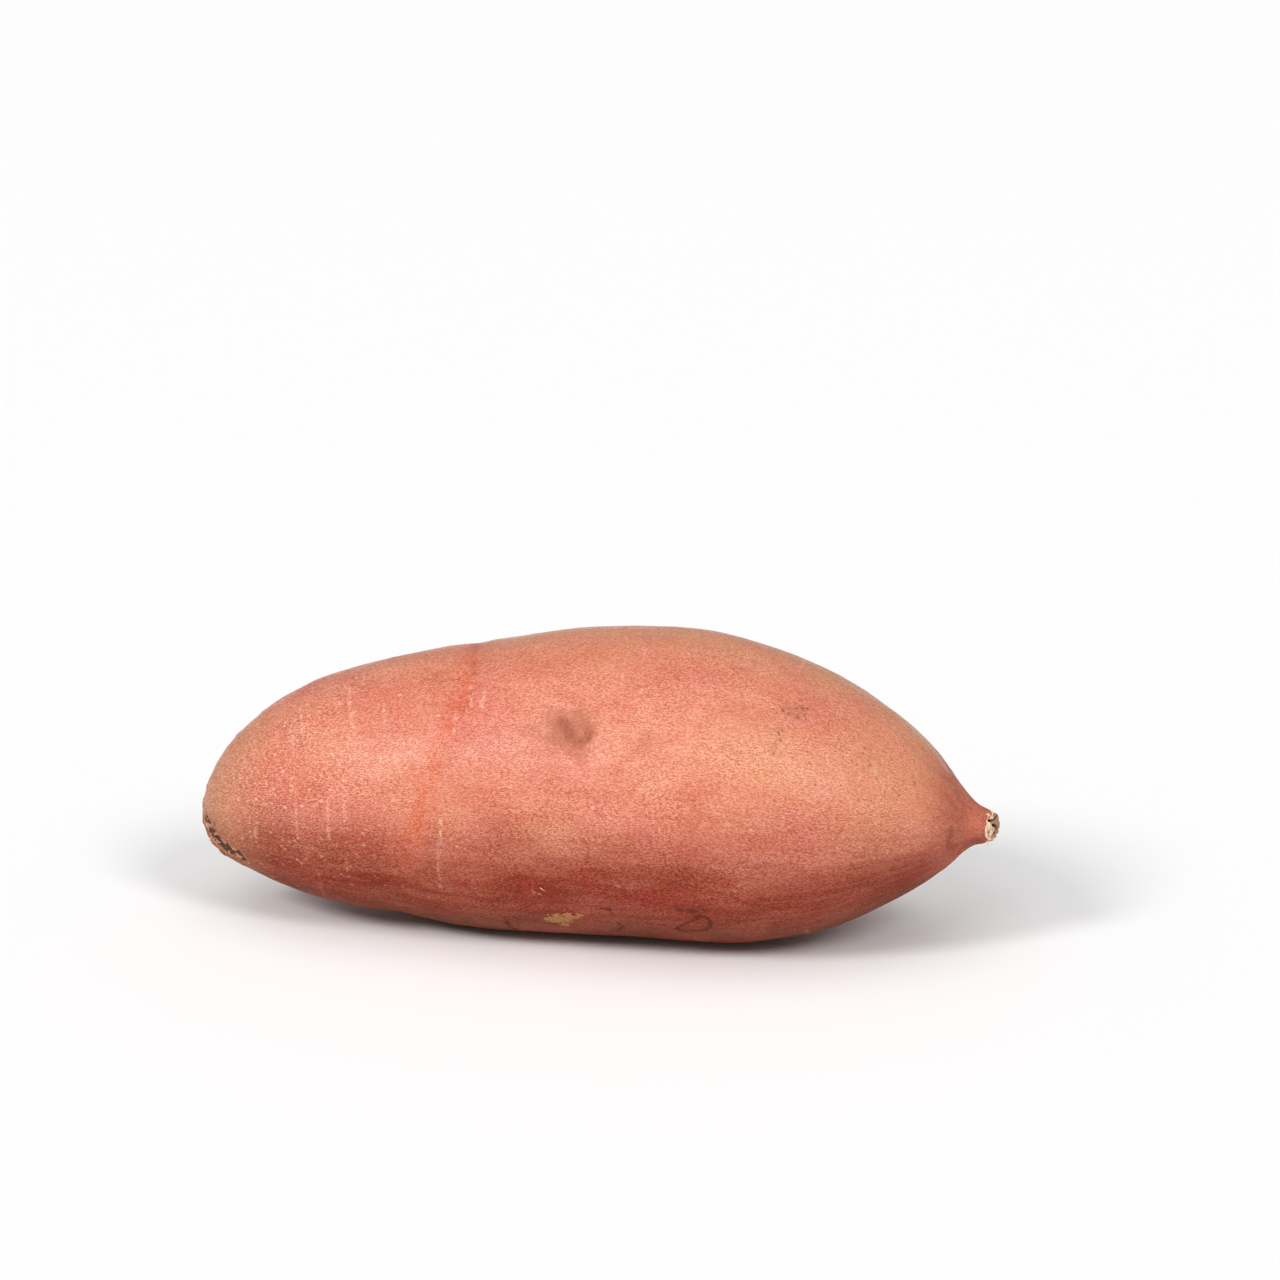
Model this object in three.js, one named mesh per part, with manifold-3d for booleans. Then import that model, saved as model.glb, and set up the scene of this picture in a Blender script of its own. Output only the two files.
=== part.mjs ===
// A sweet potato root: one swollen storage root, lying on its side as it rests on a table.
// It runs along X, from the corky tail at -X to the narrow neck at +X where it was cut from the vine.
// Units are millimetres, +Z is up, and the ground is z = 0 with the origin under the middle of the root.
// The body is a lathe turning of the root's half thickness, bent along its growth line and then
// dented, ringed and flattened where the skin rests on the ground.
import * as THREE from "three";
import { mergeVertices } from "three/addons/utils/BufferGeometryUtils.js";
import Module from "manifold-3d";

// Driving dimensions.
const LENGTH = 165; // tail to cut neck, along X
const OVALNESS = 1.03; // half width over half height, because a root grows a little flatter than round
const RINGS = 66; // rings of vertices along the root
const SIDES = 48; // vertices round each ring
const FLAT_DEPTH = 0.75; // how much of the belly the resting spot takes away
const CUT_SLANT = 0.34; // tangent of the slant of the neck's cut, which leans back on the -Y side
const CUT_START = 72; // the slant fades in from here towards the cut
const TWO_LOBES = 0.3; // swelling of the two broad lobes that wind slowly round the root
const THREE_LOBES = 0.25; // and of the three that wind the other way
const LOBE_PITCH = 38; // distance along the root for one radian of their winding

// Half thickness of the root: [x, half height]. It starts and ends on the root's own line.
const GIRTH = [
  [-82.5, 0],
  [-82.1, 2.8],
  [-80.9, 5.8],
  [-78.6, 9.4],
  [-74.8, 13.1],
  [-69, 17],
  [-60.5, 21.4],
  [-50, 24.7],
  [-37, 27.3],
  [-23, 29.9],
  [-8, 31.2],
  [8, 31.8],
  [22, 31.9],
  [34, 30.6],
  [44, 27.7],
  [53, 23.8],
  [61, 19.1],
  [67.5, 14.2],
  [72, 9.8],
  [75, 6.2],
  [77.3, 4.3],
  [79.4, 3.6],
  [81.2, 2.9],
];

// The line that the root grew along: [x, y, z] of its middle.
const GROWTH_LINE = [
  [-82.5, -2, 22.1],
  [-74.8, -1, 25.5],
  [-60.5, 0, 27.8],
  [-37, 1, 29.3],
  [-23, 1, 30.2],
  [-8, 1, 31.4],
  [8, 0.5, 32],
  [22, 0, 31.9],
  [34, -0.5, 30.9],
  [44, -1, 30.3],
  [53, -1.5, 30],
  [67.5, -2, 29],
  [75, -2.5, 27.9],
  [81.2, -3, 27.3],
];

// Dimples where side roots once grew: [x, degrees round from the front, half length, half width, depth].
// 0 degrees faces -Y, 90 faces up, 180 faces +Y and 270 faces the ground.
const DIMPLES = [
  [-2, 35, 6, 5, 0.9],
  [-15, 100, 8, 9, 0.7],
  [-35, 105, 4, 7, 0.4],
  [-46, 100, 5, 8, 0.5],
  [57, 62, 5, 4, 0.4],
  [-14, 352, 5, 3, 0.4],
  [18, 338, 7, 4, 0.5],
  [30, 150, 6, 5, 0.9],
  [-32, 150, 6, 5, 0.6],
  [4, 205, 7, 5, 0.9],
  [-48, 215, 5, 4, 0.6],
  [46, 228, 6, 4, 0.7],
  [-20, 250, 6, 4, 0.5],
];

// Shallow rings where growth paused: [x at the front, lean towards +X going up, half width, depth].
const GROWTH_RINGS = [
  [-33, 9, 5, 0.5],
  [-58, 4, 5, 0.2],
  [37, -4, 7, 0.2],
];

// A bell that is 1 at 0 and fades out by about 2.
const bell = (t) => Math.exp(-t * t);

// The shortest way round from one angle to another, in radians.
const turn = (a, b) => Math.atan2(Math.sin(a - b), Math.cos(a - b));

// Points of the half thickness, crowded where the outline bends, ready for the lathe.
function girthOutline() {
  const line = new THREE.SplineCurve(GIRTH.map(([x, r]) => new THREE.Vector2(r, x)));
  const points = line.getPoints(RINGS).map((p) => new THREE.Vector2(Math.max(p.x, 0), p.y));
  points[0].x = 0;
  points.push(new THREE.Vector2(0, points[RINGS].y));
  return points;
}

// The middle of the root at a distance x, found by halving along the growth line.
function middleAt(growth, x) {
  let low = 0;
  let high = 1;
  for (let step = 0; step < 24; step += 1) {
    const half = (low + high) / 2;
    if (growth.getPoint(half).x < x) low = half;
    else high = half;
  }
  return growth.getPoint(low);
}

// How far the skin is pulled in at a place on the root.
function pulledIn(x, angle, radius) {
  const winding = x / LOBE_PITCH;
  let depth = THREE_LOBES * Math.sin(3 * angle - winding) - TWO_LOBES * Math.sin(2 * angle + winding);
  for (const [at, degrees, halfLength, halfWidth, deep] of DIMPLES) {
    const round = turn(angle, THREE.MathUtils.degToRad(degrees)) * radius;
    depth += deep * bell((x - at) / halfLength) * bell(round / halfWidth);
  }
  for (const [at, lean, halfWidth, deep] of GROWTH_RINGS) {
    depth += deep * bell((x - at - lean * Math.sin(angle)) / halfWidth);
  }
  return depth;
}

// Bends the straight lathe turning along the growth line and shapes its skin.
function growRoot(geometry) {
  const growth = new THREE.CatmullRomCurve3(GROWTH_LINE.map((p) => new THREE.Vector3(...p)));
  const position = geometry.attributes.position;
  for (let i = 0; i < position.count; i += 1) {
    const x = position.getY(i);
    const front = position.getX(i);
    const up = position.getZ(i);
    const radius = Math.hypot(front, up);
    const angle = Math.atan2(up, front);
    const middle = middleAt(growth, x);
    const inward = radius > 0 ? pulledIn(x, angle, radius) * Math.min(1, radius / 12) : 0;
    const share = radius > 0 ? (radius - inward) / radius : 0;
    const y = -front * share * OVALNESS;
    const slant = THREE.MathUtils.smoothstep(x, CUT_START, LENGTH / 2) * CUT_SLANT;
    position.setXYZ(i, x + slant * y, middle.y + y, middle.z + up * share - FLAT_DEPTH);
  }
  return geometry;
}

// A three.js geometry as a manifold-3d solid.
function toSolid(wasm, geometry) {
  const bare = geometry.index ? geometry.toNonIndexed() : geometry.clone();
  bare.deleteAttribute("normal");
  bare.deleteAttribute("uv");
  const merged = mergeVertices(bare, 1e-3);
  return new wasm.Manifold(
    new wasm.Mesh({
      numProp: 3,
      vertProperties: new Float32Array(merged.attributes.position.array),
      triVerts: new Uint32Array(merged.index.array),
    }),
  );
}

// A manifold-3d solid as a three.js geometry.
function toGeometry(solid) {
  const mesh = solid.getMesh();
  const geometry = new THREE.BufferGeometry();
  geometry.setAttribute("position", new THREE.BufferAttribute(mesh.vertProperties, 3));
  geometry.setIndex(new THREE.BufferAttribute(mesh.triVerts, 1));
  geometry.computeVertexNormals();
  return geometry;
}

// Everything below the ground, as a slab to cut the resting spot with.
function groundSlab() {
  const depth = 20;
  return new THREE.BoxGeometry(LENGTH * 2, LENGTH * 2, depth).translate(0, 0, -depth / 2);
}

const wasm = await Module();
wasm.setup();

const turned = growRoot(new THREE.LatheGeometry(girthOutline(), SIDES));
const rested = toSolid(wasm, turned).subtract(toSolid(wasm, groundSlab()));

// The cut slants and the growth line bends, so the finished root is centred on its own box.
const rootGeometry = toGeometry(rested);
rootGeometry.computeBoundingBox();
const centre = rootGeometry.boundingBox.getCenter(new THREE.Vector3());
rootGeometry.translate(-centre.x, -centre.y, 0);

const skin = new THREE.MeshStandardMaterial({ color: 0xd9876f, roughness: 0.55, metalness: 0 });
const sweetPotato = new THREE.Mesh(rootGeometry, skin);
sweetPotato.name = "sweet_potato";

const root = new THREE.Group();
root.add(sweetPotato);

export default root;
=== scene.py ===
# %% [markdown]
# # A sweet potato, grown as one piece
#
# A sweet potato is a storage root. It swells around the line that a thin root once took through
# the soil, so it has a plump middle, a blunt corky tail, and a narrow neck where it hung from the
# vine and was cut. Nothing on it is assembled, so the whole root is one closed mesh here: rings of
# points grown along the root's own line, pressed onto the frame's solid, then refined and marked.
#
# The frame comes first. It holds the solid that fixes the root's place and size.

# %% Load the frame
import math
import random

import bpy
import numpy as np
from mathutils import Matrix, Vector, noise
from mathutils.bvhtree import BVHTree


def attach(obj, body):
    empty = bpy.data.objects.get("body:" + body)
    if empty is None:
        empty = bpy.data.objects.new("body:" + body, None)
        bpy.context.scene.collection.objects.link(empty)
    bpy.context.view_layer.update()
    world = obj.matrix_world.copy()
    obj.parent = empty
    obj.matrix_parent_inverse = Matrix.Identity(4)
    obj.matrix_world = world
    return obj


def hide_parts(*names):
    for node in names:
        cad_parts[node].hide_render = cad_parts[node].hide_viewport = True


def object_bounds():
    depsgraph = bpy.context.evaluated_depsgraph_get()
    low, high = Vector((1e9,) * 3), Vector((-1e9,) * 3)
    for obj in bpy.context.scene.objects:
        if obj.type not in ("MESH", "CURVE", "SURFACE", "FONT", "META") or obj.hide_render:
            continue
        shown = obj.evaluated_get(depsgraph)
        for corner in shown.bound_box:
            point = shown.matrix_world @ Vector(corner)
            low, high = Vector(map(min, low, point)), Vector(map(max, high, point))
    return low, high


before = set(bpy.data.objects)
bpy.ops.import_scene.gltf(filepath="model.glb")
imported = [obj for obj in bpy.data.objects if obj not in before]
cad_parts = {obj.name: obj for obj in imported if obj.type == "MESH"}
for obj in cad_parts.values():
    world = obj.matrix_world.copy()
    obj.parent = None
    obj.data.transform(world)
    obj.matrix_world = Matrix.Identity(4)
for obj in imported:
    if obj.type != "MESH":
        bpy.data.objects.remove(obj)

MM = 0.001
frame_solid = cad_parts["sweet_potato"]
cad_box = [list(corner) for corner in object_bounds()]
print("frame box in mm:", [[round(v / MM, 1) for v in corner] for corner in cad_box])

# %% [markdown]
# ## Feeling the frame
#
# To grow the root ring by ring we need to know, at any distance along it, where its middle is and
# how thick it is there. A ray that comes in from each side finds the skin, and the middle lies
# half way between. Doing this once at many stations gives smooth lines to read from later.

# %% Measure the root's line and thickness
feeler = BVHTree.FromObject(frame_solid, bpy.context.evaluated_depsgraph_get())


def touch(x, y, z, direction):
    """The first point of the solid that a ray meets."""
    return feeler.ray_cast(Vector((x, y, z)), Vector(direction))[0]


def slice_at(x):
    """Middle y and z and half width and height of a square slice through the root at x."""
    y = -1.5 * MM
    for _ in range(3):
        top = touch(x, y, 1, (0, 0, -1)).z
        low = touch(x, y, -1, (0, 0, 1)).z
        z = (top + low) / 2
        front = touch(x, -1, z, (0, 1, 0)).y
        back = touch(x, 1, z, (0, -1, 0)).y
        y = (front + back) / 2
    return y, z, (back - front) / 2, (top - low) / 2


TAIL_X, NECK_X = -82.1, 79.9
station_x = np.linspace(TAIL_X, NECK_X, 82)
station_slices = np.array([slice_at(x * MM) for x in station_x]) / MM


def root_line(x):
    """Middle y, middle z, half width and half height of the root at x, all in millimetres."""
    return [np.interp(x, station_x, station_slices[:, column]) for column in range(4)]


print("thickest half height in mm:", round(float(station_slices[:, 3].max()), 1))

# %% [markdown]
# ## Growing the body ring by ring
#
# A modeller could squash a ball to this shape, but a ball crowds its points at the poles and has
# none to spare for the neck. Growing rings is closer to how the root swelled: add one small circle
# at the tail, then extrude its edge along the root and resize it at every stop. The rings stand
# closest where the outline bends most, at the tail and round the neck.

# %% Hand tools
def select_only(thing):
    """Leaves one object selected and active, because an operator acts on all that is selected."""
    bpy.ops.object.select_all(action="DESELECT")
    thing.select_set(True)
    bpy.context.view_layer.objects.active = thing


def finish_with(thing, kind, **settings):
    """Adds a modifier, sets it up and applies it."""
    select_only(thing)
    modifier = thing.modifiers.new(kind.title(), kind)
    for name, value in settings.items():
        setattr(modifier, name, value)
    bpy.ops.object.modifier_apply(modifier=modifier.name)


# %% Stops along the root
RING_SIDES = 72
STRETCHES = [(-82.1, -78, 5), (-78, -66, 6), (-66, 62, 37), (62, 72, 6), (72, 79.9, 9)]
ring_stops = [STRETCHES[0][0]]
for start, end, count in STRETCHES:
    ring_stops += [start + (end - start) * (n + 1) / count for n in range(count)]
print("rings:", len(ring_stops))

# %% Grow the rings
SLANT_FROM, SLANT_TO, SLANT = 72, 82.5, 0.34  # the neck's cut leans back towards the front


def ring_lean(x):
    """Angle by which a ring of the neck is turned about the upright, to meet the slanted cut."""
    t = min(max((x - SLANT_FROM) / (SLANT_TO - SLANT_FROM), 0), 1)
    return math.atan(SLANT * t * t * (3 - 2 * t))


def ring_middle(x):
    """Middle, half width and half height of the ring at x, in metres."""
    y, z, wide, high = root_line(x)
    return Vector((x, y, z)) * MM, wide * MM, high * MM


bpy.ops.object.select_all(action="DESELECT")
middle, wide, high = ring_middle(ring_stops[0])
bpy.ops.mesh.primitive_circle_add(
    vertices=RING_SIDES, radius=high, location=middle, rotation=(0, math.pi / 2, 0)
)
root = bpy.context.object
root.name = "sweet_potato_root"
bpy.ops.object.transform_apply(location=True, rotation=True, scale=True)
bpy.ops.object.mode_set(mode="EDIT")
bpy.ops.mesh.select_all(action="SELECT")
bpy.ops.transform.resize(value=(1, wide / high, 1), center_override=middle)
for before, x in zip(ring_stops, ring_stops[1:]):
    old_middle, old_wide, old_high = middle, wide, high
    middle, wide, high = ring_middle(x)
    bpy.ops.mesh.extrude_edges_move(TRANSFORM_OT_translate={"value": middle - old_middle})
    bpy.ops.transform.resize(value=(1, wide / old_wide, high / old_high), center_override=middle)
    turn = ring_lean(x) - ring_lean(before)
    if turn > 0:
        bpy.ops.transform.rotate(value=turn, orient_axis="Z", center_override=middle)
print("points so far:", RING_SIDES * len(ring_stops))

# %% [markdown]
# ## Closing the two ends
#
# Both ends are still open. A fan of triangles would pinch the skin, so each hole is filled with a
# small grid of squares. The neck gets one more ring first, just inside the cut, which keeps the
# edge of the cut crisp when the mesh is refined.

# %% Close the neck and the tail
CUT_BEYOND = 1.45  # the cut lies this far past the last ring
RIM_SHARE, INNER_SHARE = 0.93, 0.84  # each ring of the cut, as a share of the one before

cut_middle = middle + Vector((CUT_BEYOND, 0, 0)) * MM
bpy.ops.mesh.extrude_edges_move(TRANSFORM_OT_translate={"value": cut_middle - middle})
bpy.ops.transform.resize(value=(RIM_SHARE,) * 3, center_override=cut_middle)
bpy.ops.mesh.extrude_edges_move(TRANSFORM_OT_translate={"value": (0, 0, 0)})
bpy.ops.transform.resize(value=(INNER_SHARE,) * 3, center_override=cut_middle)
bpy.ops.mesh.fill_grid(span=RING_SIDES // 4)
bpy.ops.mesh.select_all(action="DESELECT")
bpy.ops.mesh.select_non_manifold()
bpy.ops.mesh.fill_grid(span=RING_SIDES // 4)
bpy.ops.mesh.select_all(action="SELECT")
bpy.ops.mesh.normals_make_consistent(inside=False)
bpy.ops.object.mode_set(mode="OBJECT")
print("cage faces:", len(root.data.polygons))

# %% Press the cage onto the frame's solid and refine it
finish_with(root, "SHRINKWRAP", target=frame_solid, wrap_method="NEAREST_SURFACEPOINT")
finish_with(root, "SUBSURF", levels=2, render_levels=2)
print("skin faces:", len(root.data.polygons))

# %% [markdown]
# ## Finding one's way on the skin
#
# Marks on a root follow how it grew: scars and corky strokes run round it, creases run along it.
# So every point of the skin gets an address: its distance along the root in millimetres, and its
# angle round it in degrees, with 0 at the front, 90 on top, 180 at the back and -90 underneath.
# All the marks below are drawn at such addresses, listed one by one at the front and elsewhere,
# with a seeded hand adding more.

# %% Address every point of the skin
def read_points(thing, what):
    """Where a mesh's points are ("co") or face ("normal"), one row for each point."""
    flat = np.empty(len(thing.data.vertices) * 3, np.float32)
    thing.data.vertices.foreach_get(what, flat)
    return flat.reshape(-1, 3).astype(float)


def place_points(thing, places):
    """Puts a mesh's points at places given in millimetres."""
    thing.data.vertices.foreach_set("co", (places * MM).astype(np.float32).ravel())


def keep_field(thing, kind, share):
    """Stores one number for each point of a mesh, for its material to read."""
    layer = thing.data.attributes.new(kind, "FLOAT", "POINT")
    layer.data.foreach_set("value", share.astype(np.float32))


skin = read_points(root, "co") / MM
outward = read_points(root, "normal")
along = skin[:, 0]
middle_y, middle_z, _, _ = root_line(along)
round_root = np.degrees(np.arctan2(skin[:, 2] - middle_z, middle_y - skin[:, 1]))
print("skin points:", len(skin))


def skin_point(x, degrees):
    """The point of the skin at an address, in millimetres."""
    y, z, _, _ = root_line(x)
    angle = math.radians(degrees)
    way = (0, -math.cos(angle), math.sin(angle))
    found = touch(x * MM, y * MM, z * MM, way)
    return np.array(found) / MM


# %% Tools that draw on the skin
def grain(size, seed, points=skin):
    """Smooth noise from about -1 to 1 at every point, with lumps of the given size in mm."""
    shift = Vector((seed * 17.3, seed * 5.1, seed * 9.7))
    return np.array([noise.noise(Vector(p) / size + shift) for p in points])


wander = grain(3.5, 1) * 0.5 + grain(1.4, 2) * 0.35


def fade(distance, width):
    """1 on a mark, falling evenly to 0 at the given distance from it."""
    return np.clip(1 - distance / width, 0, 1)


FAR = 1e9  # a distance longer than any mark
REACH = 12  # no line is felt further along the root than this


def distance_to_line(stops):
    """Distance in mm from every point to a line through a list of addresses."""
    corners = [skin_point(x, degrees) for x, degrees in stops]
    nearest = np.full(len(skin), FAR)
    for a, b in zip(corners, corners[1:]):
        close = np.abs(along - (a[0] + b[0]) / 2) < REACH + abs(a[0] - b[0])
        run = b - a
        share = np.clip((skin[close] - a) @ run / max(run @ run, 1e-9), 0, 1)
        gap = np.linalg.norm(skin[close] - a - share[:, None] * run, axis=1)
        nearest[close] = np.minimum(nearest[close], gap)
    return nearest


def distance_to_spot(x, degrees, stretch=1.0):
    """Distance in mm from every point to an address, measured shorter along the root by stretch."""
    centre = skin_point(x, degrees)
    gap = skin - centre
    gap[:, 0] /= stretch
    return np.linalg.norm(gap, axis=1)


def smooth(share):
    """Eases a share from 0 to 1 in and out."""
    share = np.clip(share, 0, 1)
    return share * share * (3 - 2 * share)


marks = {}  # the fields that the skin's material reads, one number from 0 to 1 for every point
lift = np.zeros(len(skin))  # how far each point of the skin moves out, in millimetres


def mark(kind, share):
    """Adds a share to one kind of mark, where it is stronger than what is there."""
    marks[kind] = np.maximum(marks.get(kind, 0), np.clip(share, 0, 1))


# %% [markdown]
# ## Slow swellings and long creases
#
# Soil presses on a root while it swells, so its skin is never quite fair: it rises and sinks by a
# few tenths of a millimetre over a centimetre or two, and long shallow creases run towards the
# ends. Noise in the along-and-around address gives both, because a crease is only a lump that is
# stretched along the root.

# %% Swell and crease the skin
MEAN_RADIUS = 30  # the root is unrolled as if this were its radius all along
CREASE_STRETCH = 0.22  # a crease is a lump drawn out along the root by this much


def on_unrolled(stretch):
    """The skin's points on a straight, even root, with their distance along it stretched."""
    turned = np.radians(round_root)
    rows = [along * stretch, MEAN_RADIUS * np.cos(turned), MEAN_RADIUS * np.sin(turned)]
    return np.column_stack(rows)


unrolled = on_unrolled(CREASE_STRETCH)
up = np.sin(np.radians(round_root))  # 1 on top of the root, 0 at its front and back, -1 underneath
away_from_cut = smooth((NECK_X - 1 - along) / 4)
lift += 0.3 * grain(17, 3) + 0.13 * grain(7, 4) + 0.05 * grain(3, 5)
lift += 0.06 * grain(3.2, 6, unrolled) + 0.045 * grain(1.7, 7, unrolled)

neck_share = smooth((along - 62) / 14) * away_from_cut
tail_share = smooth((-72 - along) / 8)
lift += neck_share * (0.16 * np.sin(np.radians(13 * round_root) + 3 * grain(4, 8)))
lift += tail_share * 0.25 * grain(2.2, 9)
print("swelling from", round(lift.min(), 2), "to", round(lift.max(), 2), "mm")

# %% [markdown]
# ## Eyes where side roots grew
#
# Side roots leave shallow dents, often with a crescent fold where the skin closed over. The frame
# already holds the broad dents. Here they get their folds, darkened with painted shade, their brown
# floor and a rough rim.

# %% Draw the eyes
EYE_RADIUS = 31  # the root's radius where its eyes are


def bent_fold(x, degrees, size, tilt):
    """Stops of a shallow arc across an eye, tilted by an angle in degrees."""
    lean, step, stops = math.radians(tilt), size * 0.4, []
    for bend in (-1, -0.5, 0, 0.5, 1):
        bow = 0.35 * (1 - bend * bend)
        dx = step * (bend * math.cos(lean) + bow * math.sin(lean))
        rise = step * (bend * math.sin(lean) - bow * math.cos(lean))
        stops.append((x + dx, degrees + math.degrees(rise / EYE_RADIUS)))
    return stops


def draw_eye(x, degrees, size, fold_stops):
    """An eye: a mottled tan floor, a curved fold across it darkened with painted shade, and a low
    lip beyond the fold.
    """
    fold = distance_to_line(fold_stops) + 0.7 * wander
    floor = distance_to_spot(x, degrees, 1.35) + 2.4 * wander
    # Painted shade in the eye's fold.
    mark("shaded_folds", fade(fold, 2))
    mark("brown_patches", 1.1 * fade(floor, size))
    lip = distance_to_line([(a + 1.6, b - 2) for a, b in fold_stops]) + 0.4 * wander
    return 0.16 * fade(lip, 1.8) - 0.34 * fade(fold, 1.5) - 0.14 * fade(floor, size * 0.8)


FRONT_FOLD = [(-2.6, 38), (-1.2, 35), (-0.3, 31.6), (1, 29.6), (2.9, 31), (3.4, 34.5)]
lift += draw_eye(-1.4, 33.5, 8.2, FRONT_FOLD)
HIDDEN_EYES = [  # distance along, angle round, size, tilt of the fold
    (30, 150, 5.6, -60), (-32, 150, 4.8, 70), (4, 205, 6.4, -80),
    (-48, 215, 4.6, 60), (46, 228, 5, -50),
]
for x, degrees, size, tilt in HIDDEN_EYES:
    lift += draw_eye(x, degrees, size, bent_fold(x, degrees, size, tilt))
print("eyes:", 1 + len(HIDDEN_EYES))

# %% [markdown]
# ## Corky strokes and breathing pores
#
# The skin breathes through pores, and where several lie side by side round the root they dry into
# short pale strokes, a little proud of the skin. They are drawn as thin lines round the root. Only
# the distance to each line is stored, and the material decides later where the stroke is broken.

# %% Draw the strokes
HIDDEN_STROKES, WARTS = 46, 110
FRONT_STROKES = [
    [(-66.7, -1), (-66.9, -17)], [(-58, 16), (-57.6, 4), (-57.3, -12)],
    [(-50.5, 9), (-50.4, -10)], [(-47.2, 20), (-46.6, 2), (-46.9, -27)],
    [(-60.2, 50), (-59.2, 38)], [(-58.7, 58), (-57, 42)], [(-49, 66), (-48, 55), (-46, 41)],
    [(-40.4, 51), (-39.6, 42)], [(-22.8, 56), (-21.7, 46)], [(-24.8, 45), (-24.5, 35)],
    [(-19.8, 53), (-19.3, 45)], [(-26.1, 2), (-26.8, -12), (-27.3, -29)],
    [(6.9, 82), (8.6, 56), (9.7, 29)], [(11.4, 74), (12.6, 50)], [(59, 44), (59.6, 37)],
]


def draw_stroke(stops, proud=0.1, width=1.6):
    """A thin pale line, standing a little proud of the skin."""
    gap = distance_to_line(stops) + 0.18 * wander
    mark("pale_strokes", fade(gap, width))
    return proud * fade(gap, 0.9)


for stroke in FRONT_STROKES:
    lift += draw_stroke(stroke)

chance = random.Random(41)
for _ in range(HIDDEN_STROKES):
    x = chance.uniform(-70, 66)
    start = chance.uniform(75, 300)
    sweep = math.degrees(chance.uniform(3, 13) / float(root_line(x)[3]))
    slip = chance.uniform(-0.8, 0.8)
    lift += draw_stroke([(x, start), (x + slip, start + sweep)])
print("strokes:", len(FRONT_STROKES) + HIDDEN_STROKES)

# %% Draw the warts near the tail
for _ in range(WARTS):
    x = -80 + 42 * chance.random() ** 1.7
    degrees = chance.uniform(0, 360)
    size = chance.uniform(1, 1.5)
    gap = distance_to_spot(x, degrees, 1.5) + 0.25 * wander
    mark("pale_strokes", fade(gap, size))
    lift += 0.14 * smooth(fade(gap, size))

# %% [markdown]
# ## The growth ring
#
# A third of the way along, growth paused for a while. The skin there is drawn in a little and has
# kept a warmer, almost red colour. The band leans as it climbs over the front.

# %% Draw the growth ring
RING_BAND = [
    (-40, -75), (-37, -45), (-34.2, -15), (-32.1, -3), (-30, 13), (-29.4, 29),
    (-26, 40), (-24.1, 54), (-24.5, 70), (-26, 97), (-29, 130), (-34, 165), (-39, 200), (-42, 240),
]
band = distance_to_line(RING_BAND) + 2.2 * wander
mark("blush", 0.9 * fade(band, 4.6) * smooth((up + 0.55) / 0.5))
for x, degrees, size in [(-25, 47, 6.5), (-30.5, 8, 4.5), (-29.8, 21, 3.5)]:
    mark("blush", fade(distance_to_spot(x, degrees, 0.8) + 2 * wander, size))
lift -= 0.24 * smooth(fade(band, 5))
lift -= 0.18 * fade(distance_to_line([(-26, 96), (-23.6, 78), (-22.6, 64)]) + 0.4 * wander, 1.4)
mark("rose_stains", 0.7 * fade(distance_to_line([(-25.6, 94), (-22.7, 64)]) + 0.6 * wander, 1.8))
print("share of skin on the band:", round(float((marks["blush"] > 0.3).mean()), 3))

# %% [markdown]
# ## Scars, cracks and stains
#
# Nicks from the soil and the spade heal into brown lines, tan flakes and dark red stains. They
# are listed one by one, most at the front and low on the belly and others behind.

# %% Draw scars and cracks
def draw_crack(stops, width=1.2, deep=0.3):
    """A dark line sunk into the skin, with slightly raised edges."""
    gap = distance_to_line(stops) + 0.22 * wander
    mark("dark_lines", fade(gap, width))
    return 0.08 * fade(gap - 0.8, 1.2) - deep * fade(gap, 0.8)


def draw_patch(kind, x, degrees, size, stretch=1.0, strength=1.0, rise=0.0):
    """A ragged spot of one kind of mark, raised or sunk by rise."""
    gap = distance_to_spot(x, degrees, stretch) + 0.34 * size * wander
    mark(kind, strength * fade(gap, size))
    return rise * smooth(fade(gap, size * 0.75) * 3)


CRACKS = [
    [(-14.5, -47), (-14.9, -52), (-14.6, -58), (-13.6, -65)], [(8, -47), (9.2, -50), (7.6, -55)],
    [(5.4, -37), (7.6, -36), (8, -41)], [(-20, 170), (-17, 176), (-16, 184)],
    [(52, 190), (55, 198)], [(14, 262), (17, 270), (16, 277)],
]
for crack in CRACKS:
    lift += draw_crack(crack)
BLISTER = [  # the outline of a healed blister
    (20.2, -47.5), (21.1, -50.2), (23.3, -48.6), (25.4, -47.6), (26.9, -45), (27.6, -40),
    (27, -36.6), (25.4, -36.4), (24.2, -39.8), (22.2, -42.8), (20.2, -47.5),
]
lift += draw_crack(BLISTER, 1.25, 0.2)

# %% Draw flakes, smudges and stains
# Each row is a spot: distance along, angle round, size, stretch along the root, and strength.
FLAKES = [  # these have no strength of their own
    (-5, -46.6, 2.4, 1.1), (-3.4, -45.4, 3, 1.3), (-2.9, -50.5, 2, 0.9), (-1.2, -42.8, 1.7, 1.8),
    (0.8, -41.6, 1.1, 1), (22, 250, 3, 1.6), (27, 246, 2, 1.2),
]
for x, degrees, size, stretch in FLAKES:
    lift += draw_patch("tan_flakes", x, degrees, size, stretch, 1, 0.14)

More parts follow.
